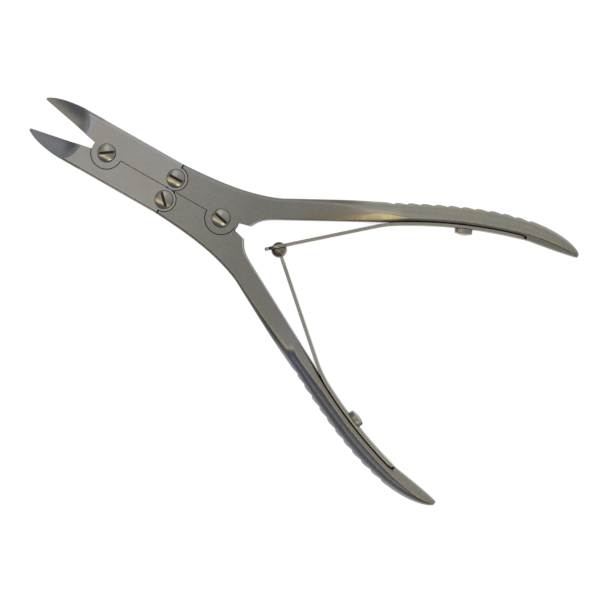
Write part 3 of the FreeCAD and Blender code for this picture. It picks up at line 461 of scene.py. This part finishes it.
handleLook = dict(
    steelLook, warm=(0.292, 0.286, 0.275), cool=(0.265, 0.27, 0.272), violet=(0.278, 0.27, 0.29),
    mottle=0.3, shadeAndSeams=0.8, shankShade=0.20, shankFrom=(-14.0, 16.0), shankTo=(30.0, 44.0),
    gripWarmthAndReflection=(1.06, 1.02, 0.88), upperWarmOver=(5.0, 38.0), lowerWarmOver=(38.0, 55.0),
    facetCoolReflection=(0.90, 0.95, 1.16),
    wallShade=0.45, wallHeights=(3.2, 3.7), wallEnds=(34.0, 42.0),
    glintLine=(24.2, 13.9),  # then tint, where it begins and ends along X, and the heights over which it fades
    # painted gold reflection, then painted glint
    goldReflection=((0.97, 0.91, 0.78), (22.2, 27.2), (50.0, 54.0), (0.2, 2.8)),
    glint=((1.40, 1.40, 1.40), (39.0, 45.0), (49.0, 54.0), (1.5, 4.5)),
    leafShadowShare=0.9, bandInner=(-0.25, -0.05), bandOuter=(0.18, 0.53), bandHeights=(1.5, 2.2),
    bandStart=(47.0, 56.0), bandEnd=(91.0, 94.5),
)
leafLook = dict(
    steelLook, warm=(0.33, 0.31, 0.27), cool=(0.28, 0.28, 0.26), grainDepth=0.2,
    edge=0.08, outerEdge=0, roughness=0.26, seams=0,
)
screwLook = {
    "warm": (0.33, 0.305, 0.26), "cool": (0.28, 0.28, 0.275), "bright": (0.6, 0.57, 0.5),
    "coolOver": (0.35, 0.65), "cloudScale": 420.0, "speckScale": 2600.0, "bump": 0.25, "speckHeight": 0.01,
    "dark": (0.012, 0.011, 0.009), "edge": 0.10, "edgeShine": 0.4, "slotShade": 0.9,
    "shadeAndSeams": 0.95, "cornerReach": 0.9, "cornerOver": (0.25, 0.8),
    "roughness": 0.15, "speckGloss": 0.12, "cloudGloss": 0.08, "shadeAndSeamsGloss": 0.3,
}
ballLook = dict(
    screwLook, warm=(0.34, 0.27, 0.20), cool=(0.20, 0.18, 0.16), bright=(0.4, 0.35, 0.28),
    roughness=0.34, slotShade=0,
)

upperJawSteel = steelFinish("upperJawSteel", upperJawLook)
lowerJawSteel = steelFinish("lowerJawSteel", lowerJawLook)
handleSteel = steelFinish("handleSteel", handleLook)
screwSteel = polishedFinish("screwSteel", screwLook)
leafSteel = steelFinish("leafSteel", leafLook)
ballSteel = polishedFinish("ballSteel", ballLook)
print("materials ready")


# levers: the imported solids, with their finish

for nodeName, material in (("upper_jaw", upperJawSteel), ("lower_jaw", lowerJawSteel),
                           ("upper_handle", handleSteel), ("lower_handle", handleSteel)):
    nodes[nodeName].data.materials.clear()
    nodes[nodeName].data.materials.append(material)
print("levers ready")


# slotted screws: heights from the middle of the steel for the pivots, from the spring seat for the others

pivotScrew = {
    "head": 3.1, "rim": 4.3, "dome": 0.6, "underHead": 2.9, "shank": 2.0, "shankEnd": 0.03, "thread": 1.75,
    "foot": -3.8, "slotWidth": 0.9, "slotDepth": 0.9, "rimRound": 0.22, "pitch": 0.5, "threadDepth": 0.12,
}
springScrew = {
    "head": 3.0, "rim": 2.85, "dome": 0.6, "underHead": 1.25, "shank": 1.4, "shankEnd": 1.2, "thread": 1.4,
    "foot": -4.0, "slotWidth": 0.9, "slotDepth": 0.9, "rimRound": 0.22, "pitch": 0.45, "threadDepth": 0.0,
}


def slottedHead(size):
    # lines across the slot, closest at its walls; on each line a chord of the round head.
    # height = rim + dome (1 - r2/R2), less a rounding at the rim, less a tanh step down into the slot
    radius, half = size["head"], size["slotWidth"] / 2
    beside = 0.12  # strip on each side of a slot wall that the close lines fill
    wall = np.array([-0.08, -0.04, -0.015, 0.0, 0.015, 0.04, 0.08])
    outer = half + beside + (radius - half - beside) * np.sin(np.linspace(0, np.pi / 2, 17))
    side = np.concatenate([np.linspace(0, half - beside, 3), half + wall, outer])
    across = np.concatenate([-side[::-1], side[1:]])
    share = np.sin(np.linspace(-np.pi / 2, np.pi / 2, 57))
    y, v = np.meshgrid(across, share, indexing="ij")
    x = v * np.sqrt(np.maximum(radius ** 2 - y ** 2, 0))
    r = np.minimum(np.hypot(x, y), radius)
    past = np.maximum(r - (radius - size["rimRound"]), 0)
    rounding = size["rimRound"] - np.sqrt(np.maximum(size["rimRound"] ** 2 - past ** 2, 0))
    top = size["rim"] + size["dome"] * (1 - (r / radius) ** 2) - rounding
    slot = size["slotDepth"] * (0.5 - 0.5 * np.tanh((np.abs(y) - half) / 0.02))
    slotFloor = np.minimum(top, size["rim"] + size["dome"] - size["slotDepth"])
    height = np.where(slot < 0.5 * size["slotDepth"], top, np.maximum(top - slot, slotFloor))
    head = np.stack([x, y, height], -1)
    # the skirt and shank: the head's outline carried down a profile of (radius, height)
    loop = np.concatenate([head[:, -1], head[::-1, 0]])
    unit = loop[:, :2] / np.linalg.norm(loop[:, :2], axis=1, keepdims=True)
    turns = np.arange(size["shankEnd"] - 0.05, size["foot"] + 0.35, -size["pitch"] / 4)
    thread = size["thread"] - size["threadDepth"] * (0.5 - 0.5 * np.cos(turns / size["pitch"] * 2 * np.pi))
    under, foot = size["underHead"], size["foot"]
    profile = [(radius, under + 0.1), (radius - 0.1, under), (size["shank"], under)]
    profile += [(size["shank"], size["shankEnd"]), *zip(thread, turns)]
    profile += [(size["thread"] - 0.3, foot + 0.04), (size["thread"] - 0.45, foot), (0.0, foot)]
    rings = [loop] + [np.column_stack([unit * ring, np.full(len(unit), level)]) for ring, level in profile]
    skirt = np.stack(rings)
    return [(head, gridFaces(*head.shape[:2])), (skirt, gridFaces(*skirt.shape[:2], closeColumns=True))]


def markSlot(piece, size, matrix, offset):
    # stores how far each point is down the driver slot, from 0 on the dome to 1 on its floor
    mesh = piece.data
    points = np.empty(len(mesh.vertices) * 3)
    mesh.vertices.foreach_get("co", points)
    local = ((points.reshape(-1, 3) - origin) / mm - offset) @ matrix
    dome = size["rim"] + size["dome"] * (1 - np.hypot(local[:, 0], local[:, 1]) ** 2 / size["head"] ** 2)
    inSlot = (np.abs(local[:, 1]) < size["slotWidth"] / 2 + 0.03) & (local[:, 2] > size["underHead"] + 0.3)
    depth = np.clip((dome - local[:, 2]) / size["slotDepth"], 0, 1) * inSlot
    mesh.attributes.new("slotDepth", "FLOAT", "POINT").data.foreach_set("value", depth.astype(np.float32))


def screwPiece(nodeName, size, matrix, offset):
    # the turned screw in its own axes, carried to its place by a turning matrix and an offset
    shells = [(p.reshape(-1, 3) @ matrix.T + offset, q) for p, q in slottedHead(size)]
    piece = meshPiece(nodeName.replace("_", "") + "Turned", shells, screwSteel)
    markSlot(piece, size, matrix, offset)
    return piece


def turnAbout(degrees):
    # turn about the height axis: (cos, -sin), (sin, cos)
    c, s = math.cos(math.radians(degrees)), math.sin(math.radians(degrees))
    return np.array([[c, -s, 0], [s, c, 0], [0, 0, 1]])


pivots = {  # place in plan, angle of the driver slot, body
    "jaw_pivot_screw": ((-45.0, 0.0), 34, "lower_blade"),
    "upper_link_screw": ((-20.05, 4.1), 1, "upper_lever"),
    "lower_link_screw": ((-20.05, -4.1), -44, "lower_lever"),
    "handle_pivot_screw": ((0.0, 0.0), -12, "lower_lever"),
}
for nodeName, (spot, angle, body) in pivots.items():
    piece = screwPiece(nodeName, pivotScrew, turnAbout(angle), np.array([*spot, 0.0]))
    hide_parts(nodeName)
    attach(piece, body)
print("pivot screws ready")


def seatPoint(along, inwards):
    # point of the upper seat: centre + outward normal x (radius - inwards), the normal turning with the length
    angle = seatArc["slope"] - np.asarray(along, float) / seatArc["radius"]
    outwards = np.stack([-np.sin(angle), np.cos(angle)], -1)
    return seatCentre + outwards * (seatArc["radius"] - np.asarray(inwards, float)[..., None]), angle


springScrews = {  # side of the forceps, angle of the driver slot, body
    "upper_spring_screw": (1, 20, "upper_lever"),
    "lower_spring_screw": (-1, -35, "lower_lever"),
}
springScrewAlong = 23.7  # along the seat
for nodeName, (side, slotAngle, body) in springScrews.items():
    foot, angle = seatPoint(springScrewAlong, 0.0)
    normal = np.array([math.sin(angle), -side * math.cos(angle), 0.0])
    upright = np.array([0.0, 0.0, 1.0])
    matrix = np.column_stack([np.cross(upright, normal), upright, normal]) @ turnAbout(slotAngle)
    piece = screwPiece(nodeName, springScrew, matrix, np.array([foot[0], side * foot[1], 0.0]))
    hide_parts(nodeName)
    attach(piece, body)
print("spring screws ready")


# spring leaves and ball

leaf = {
    "thickness": 1.1, "clearance": 0.1, "width": 5.6, "neck": 4.2, "edgeRound": 0.22,
    "tail": 44.85, "tailWidth": 2.6, "tailRound": 3.2,
    "intoBall": 0.6, "tang": 2.4, "tangRun": 2.4, "pinchRun": 2.6,
    "bend": 40.0, "upperLift": 0.75, "upperAngle": 41.2, "lowerLift": 9.35, "lowerAngle": 41.7,
    "seatedSteps": 40, "bendSteps": 18, "freeSteps": 40,
}
eye = {
    "socket": 2.85, "rim": 1.2, "neckAt": 1.5, "edgeRound": 0.16,
    "tongue": 4.7, "tongueHalf": 1.5, "squareness": 7, "softness": 24,
}
ball = {"x": 22.2, "radius": 2.7, "grooveAt": 2.35, "grooveHalf": 0.04, "grooveDepth": 0.012}


def leafCentre(which, freeLength):
    # middle line in plan: an arc on the seat, a bend of its own radius, then straight to the ball
    lift, free = leaf[which + "Lift"], math.radians(leaf[which + "Angle"])
    inwards = leaf["clearance"] + leaf["thickness"] / 2
    steps = leaf["seatedSteps"]
    seated, seatedAngle = seatPoint(np.linspace(leaf["tail"], lift, steps), np.full(steps, inwards))
    base, liftAngle = seatPoint(lift, 0.0)
    centre = base + np.array([math.sin(liftAngle), -math.cos(liftAngle)]) * leaf["bend"]
    turn = np.linspace(liftAngle, free, leaf["bendSteps"])[1:]
    bent = centre + np.stack([-np.sin(turn), np.cos(turn)], -1) * (leaf["bend"] - inwards)
    direction = -np.array([math.cos(free), math.sin(free)])
    run = bent[-1] + direction * np.linspace(0, freeLength, leaf["freeSteps"])[1:, None]
    points = np.concatenate([seated, bent, run])
    angles = np.concatenate([seatedAngle, turn, np.full(leaf["freeSteps"] - 1, free)])
    return points, angles, bent[-1], direction


def carryStrip(points, angles, halfWidths, side):
    # rounded rectangle carried along the middle line: corner centre + radius x (cos, sin) of the turn.
    # Its corner radius is the same all along
    corners = np.repeat(np.array([(1, 1), (-1, 1), (-1, -1), (1, -1)]), 4, axis=0)
    turn = (np.arange(4)[:, None] * np.pi / 2 + np.linspace(0, np.pi / 2, 4)).ravel()
    e = leaf["edgeRound"]
    a = corners[:, 0] * (leaf["thickness"] / 2 - e) + np.cos(turn) * e
    b = corners[None, :, 1] * (halfWidths[:, None] - e) + np.sin(turn)[None, :] * e
    out = np.stack([-np.sin(angles), np.cos(angles)], -1)
    plan = points[:, None, :] + out[:, None, :] * a[None, :, None]
    return np.concatenate([plan * [1, side], b[..., None]], -1)


def capped(strip):
    # closes both ends of a carried outline with a point in its middle
    first, last = strip[:1].mean(1, keepdims=True), strip[-1:].mean(1, keepdims=True)
    rows = np.concatenate([np.repeat(first, strip.shape[1], 1), strip, np.repeat(last, strip.shape[1], 1)])
    return rows, gridFaces(*rows.shape[:2], closeColumns=True)


def distancesAlong(points):
    return np.concatenate([[0], np.cumsum(np.linalg.norm(np.diff(points, axis=0), axis=1))])


def stripWidths(distances, total):
    # half-width: a rounded tail, a parallel stretch to the lift-off, then a straight taper to the neck
    liftOff = distances[leaf["seatedSteps"] - 1]
    rounding = np.sqrt(1 - (1 - np.clip(distances / leaf["tailRound"], 0, 1)) ** 2)
    tail = leaf["tailWidth"] / 2 + (leaf["width"] - leaf["tailWidth"]) / 2 * rounding
    return tail + (leaf["neck"] - leaf["width"]) / 2 * np.clip((distances - liftOff) / (total - liftOff), 0, 1)


# the ball sits on the lower leaf's line; the eye is where the upper leaf's line passes it
lowerStart, lowerDirection = leafCentre("lower", 1.0)[2:]
lowerRun = (ball["x"] - lowerStart[0]) / lowerDirection[0]
ballPlan = (lowerStart + lowerDirection * lowerRun) * [1, -1]
upperStart, upperDirection = leafCentre("upper", 1.0)[2:]
eyeRun = float((ballPlan - upperStart) @ upperDirection)
eyePlan = upperStart + upperDirection * eyeRun
eyeOffset = float(np.linalg.norm(ballPlan - eyePlan))
eyeInner = math.sqrt(eye["socket"] ** 2 - (eyeOffset + leaf["thickness"] / 2) ** 2)
eyeOuter = eyeInner + eye["rim"]


def lowerLeaf():
    # the strip narrows by a smooth step, t2 (3 - 2t), to the tang that is set in the ball
    points, angles = leafCentre("lower", lowerRun - leaf["intoBall"])[:2]
    gone = distancesAlong(points)
    pinch = np.clip((gone[-1] - gone - leaf["tangRun"]) / leaf["pinchRun"], 0, 1)
    pinch = pinch * pinch * (3 - 2 * pinch)
    widths = leaf["tang"] / 2 + (stripWidths(gone, gone[-1]) - leaf["tang"] / 2) * pinch
    return [capped(carryStrip(points, angles, widths, -1))]


def upperLeaf():
    # the strip ends at the eye, and a closed ring with a blunt tongue carries on from there.
    # Outline about the eye's centre: a soft maximum of the ring, the neck and a superellipse for the tongue
    neckAt = eye["neckAt"] * eyeOuter
    points, angles = leafCentre("upper", eyeRun - neckAt)[:2]
    gone = distancesAlong(points)
    widths = stripWidths(gone, gone[-1] + neckAt)
    strip = capped(carryStrip(points, angles, widths, 1))
    theta = np.linspace(0, 2 * np.pi, 145)[:-1]
    c, s = np.cos(theta), np.sin(theta)
    neckSide = widths[-1] / np.maximum(np.abs(s), 1e-6)
    neckEnd = neckAt / np.maximum(c, 1e-6)
    neck = np.where(c > 0, np.minimum(neckSide, neckEnd), 0)
    power = eye["squareness"]
    tongue = ((np.abs(c) / eye["tongue"]) ** power + (np.abs(s) / eye["tongueHalf"]) ** power) ** (-1 / power)
    tongue = np.where(c < 0, tongue, 0)
    soft = eye["softness"]
    outer = (eyeOuter ** soft + neck ** soft + tongue ** soft) ** (1 / soft)
    # section of the ring, from the hollow seat to the rounded outer edge; depth +half faces the ball
    half, e = leaf["thickness"] / 2, eye["edgeRound"]
    seatDepths = np.array([-half, -half * 0.3, half * 0.4, half])
    depth = np.array([*seatDepths, half, half - 0.3 * e, half - e, -half + e, -half + 0.3 * e, -half])
    inner = np.sqrt(eye["socket"] ** 2 - (eyeOffset - seatDepths) ** 2) + [0, 0, 0, 0.02]
    inner = np.repeat(inner[None, :], len(theta), 0)
    rho = np.column_stack([inner, outer - e, outer - 0.3 * e, outer, outer, outer - 0.3 * e, outer - e])
    towardsBall = (ballPlan - eyePlan) / eyeOffset
    plan = eyePlan - (rho * c[:, None])[..., None] * upperDirection + depth[None, :, None] * towardsBall
    shell = np.concatenate([plan, (rho * s[:, None])[..., None]], -1)
    return [strip, (shell, gridFaces(*shell.shape[:2], closeRows=True, closeColumns=True))]


def ballShell():
    # sphere turned on the lower leaf's line, its radius less a fine groove, a bell curve over the polar angle
    polar = np.linspace(0, np.pi, 61)
    turn = np.linspace(0, 2 * np.pi, 73)[:-1]
    bell = np.exp(-((polar - ball["grooveAt"]) / ball["grooveHalf"]) ** 2)
    r = (ball["radius"] * (1 - ball["grooveDepth"] * bell))[:, None]
    axis = -lowerDirection * [1, -1]
    across = np.array([-axis[1], axis[0]])
    p, t = np.meshgrid(polar, turn, indexing="ij")
    plan = ballPlan + (r * np.cos(p))[..., None] * axis + (r * np.sin(p) * np.cos(t))[..., None] * across
    shell = np.concatenate([plan, (r * np.sin(p) * np.sin(t))[..., None]], -1)
    return [(shell, gridFaces(*shell.shape[:2], closeColumns=True))]


upperPiece = meshPiece("upperSpringLeafBent", upperLeaf(), leafSteel)
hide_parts("upper_spring_leaf")
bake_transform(upperPiece)
lowerPiece = meshPiece("lowerSpringLeafBent", lowerLeaf(), leafSteel)
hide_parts("lower_spring_leaf")
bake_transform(lowerPiece)
ballPiece = meshPiece("springBallTurned", ballShell(), ballSteel)
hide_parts("spring_ball")
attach(ballPiece, "lower_leaf")
print("springs ready")


# floor, light, camera

studio = {
    "floorSize": 3.0, "floorHeight": -0.0001, "floorColour": (0.86, 0.86, 0.86), "floorGlow": 0.94,
    "glowStrength": 1.06, "shadeReach": 0.004, "shadeOver": (0.03, 0.26),
    "footShade": 0.75, "footOver": (0.2, 0.9),
    "skyStrength": 1.5, "towardsJaws": 0.35, "jawEndShade": 0.6, "jawEndOver": (0.45, 0.85),
}
white, black = (1.0, 1.0, 1.0), (0.0, 0.0, 0.0)

reach, level = studio["floorSize"], studio["floorHeight"]
corners = [(-reach, -reach, level), (reach, -reach, level), (reach, reach, level), (-reach, reach, level)]
floorMesh = bpy.data.meshes.new("floor")
floorMesh.from_pydata(corners, [], [(0, 1, 2, 3)])
floor = bpy.data.objects.new("floor", floorMesh)
bpy.context.scene.collection.objects.link(floor)

# pale paper that glows white to the camera and in the steel. The glow fades out under the steel, so that no
# white shows up through the seams, and the side walls of the steel see the floor at their foot dimmer still
paper = newFinish("paleFloor")
cameraRay = paper.add("ShaderNodeLightPath", output="Is Camera Ray")
glossyRay = paper.add("ShaderNodeLightPath", output="Is Glossy Ray")
clearRay = paper.add("ShaderNodeLightPath", output="Is Transmission Ray")
lit = paper.add("ShaderNodeBsdfDiffuse", None, {"Color": (*studio["floorColour"], 1.0)})
openSky = paper.exposure(studio["shadeReach"], samples=8)
footShade = (1 - openSky.between(*studio["footOver"])) * studio["footShade"]
dimmed = 1 - glossyRay * (1 - cameraRay) * footShade
glowColour = paper.mixColour(openSky.between(*studio["shadeOver"]) * dimmed, black, white)
glow = paper.add("ShaderNodeEmission", None, {"Color": glowColour, "Strength": studio["glowStrength"]})
seen = cameraRay.most(glossyRay).most(clearRay) * studio["floorGlow"]
paperShader = paper.add("ShaderNodeMixShader", None, {0: seen, 1: lit, 2: glow})
paper.add("ShaderNodeOutputMaterial", None, {"Surface": paperShader})
floorMesh.materials.append(paper.owner)

# sky: how far the ray leans towards the foot of the picture sets its colour; one warm window, dark beyond it
skyStops = [
    (0.00, (0.46, 0.46, 0.45)), (0.20, (0.56, 0.56, 0.545)), (0.45, (0.44, 0.437, 0.427)),
    (0.57, (0.42, 0.41, 0.385)), (0.62, (0.72, 0.63, 0.45)), (0.69, (1.45, 1.25, 0.80)),
    (0.72, (0.44, 0.38, 0.27)), (0.76, (0.135, 0.13, 0.13)), (0.90, (0.105, 0.112, 0.15)),
    (1.0, (0.29, 0.28, 0.265)),
]
world = bpy.data.worlds.new("studioSky")
bpy.context.scene.world = world
sky = Finish(world)
heading = sky.add("ShaderNodeTexCoord", output="Generated")
lean = sky.vectorMaths("DOT_PRODUCT", heading, (0.0, -1.0, 0.0), output="Value")
jawwards = sky.vectorMaths("DOT_PRODUCT", heading, (-1.0, 0.0, 0.0), output="Value")
skyColour = sky.add("ShaderNodeValToRGB", {"stops": skyStops}, {0: lean * 0.5 + 0.5})
strength = studio["skyStrength"] * (1 + jawwards * studio["towardsJaws"])
strength = strength * (1 - jawwards.between(*studio["jawEndOver"]) * studio["jawEndShade"])
skyLight = sky.add("ShaderNodeBackground", None, {"Color": skyColour, "Strength": strength})
plainWhite = sky.add("ShaderNodeBackground", None, {"Color": (*white, 1.0), "Strength": 1.0})
skyRay = sky.add("ShaderNodeLightPath", output="Is Camera Ray")
skyShader = sky.add("ShaderNodeMixShader", None, {0: skyRay, 1: skyLight, 2: plainWhite})
sky.add("ShaderNodeOutputWorld", None, {"Surface": skyShader})

lamps = {  # direction, distance, size, power, colour
    "warmWindow": ((0.22, -0.36, 0.91), 1.2, 0.2, 0.22, (1.0, 0.86, 0.58)),
    "topSoftbox": ((-0.45, 0.35, 1.0), 1.4, 0.6, 0.35, (1.0, 0.99, 0.97)),
}
for lampName, (direction, distance, size, power, colour) in lamps.items():
    lamp = bpy.data.lights.new(lampName, "AREA")
    lamp.shape = "DISK"
    lamp.size = size
    lamp.energy = power
    lamp.color = colour
    holder = bpy.data.objects.new(lampName, lamp)
    towards = Vector(direction).normalized()
    holder.location = towards * distance
    holder.rotation_mode = "QUATERNION"
    holder.rotation_quaternion = towards.to_track_quat("Z", "Y")
    bpy.context.scene.collection.objects.link(holder)

# the camera looks down from over the springs, turned so that the jaws point up and to the left
lens = {"tilt": 0.04492, "roll": -0.03236, "turn": -0.51889, "at": (49.83, 6.92, 398.69), "length": 70.06}
camera = bpy.data.cameras.new("camera")
camera.lens = lens["length"]
camera.sensor_width = 36.0
camera.clip_start = 0.02
levelled = Matrix.Rotation(lens["roll"], 3, "Y") @ Matrix.Rotation(lens["tilt"], 3, "X")
view = Matrix.Rotation(lens["turn"], 3, "Z") @ levelled
cameraObject = bpy.data.objects.new("camera", camera)
cameraObject.matrix_world = Matrix.Translation(place(lens["at"])) @ view.transposed().to_4x4()
bpy.context.scene.collection.objects.link(cameraObject)
bpy.context.scene.camera = cameraObject
bpy.context.scene.view_settings.view_transform = "Standard"
print("studio ready")
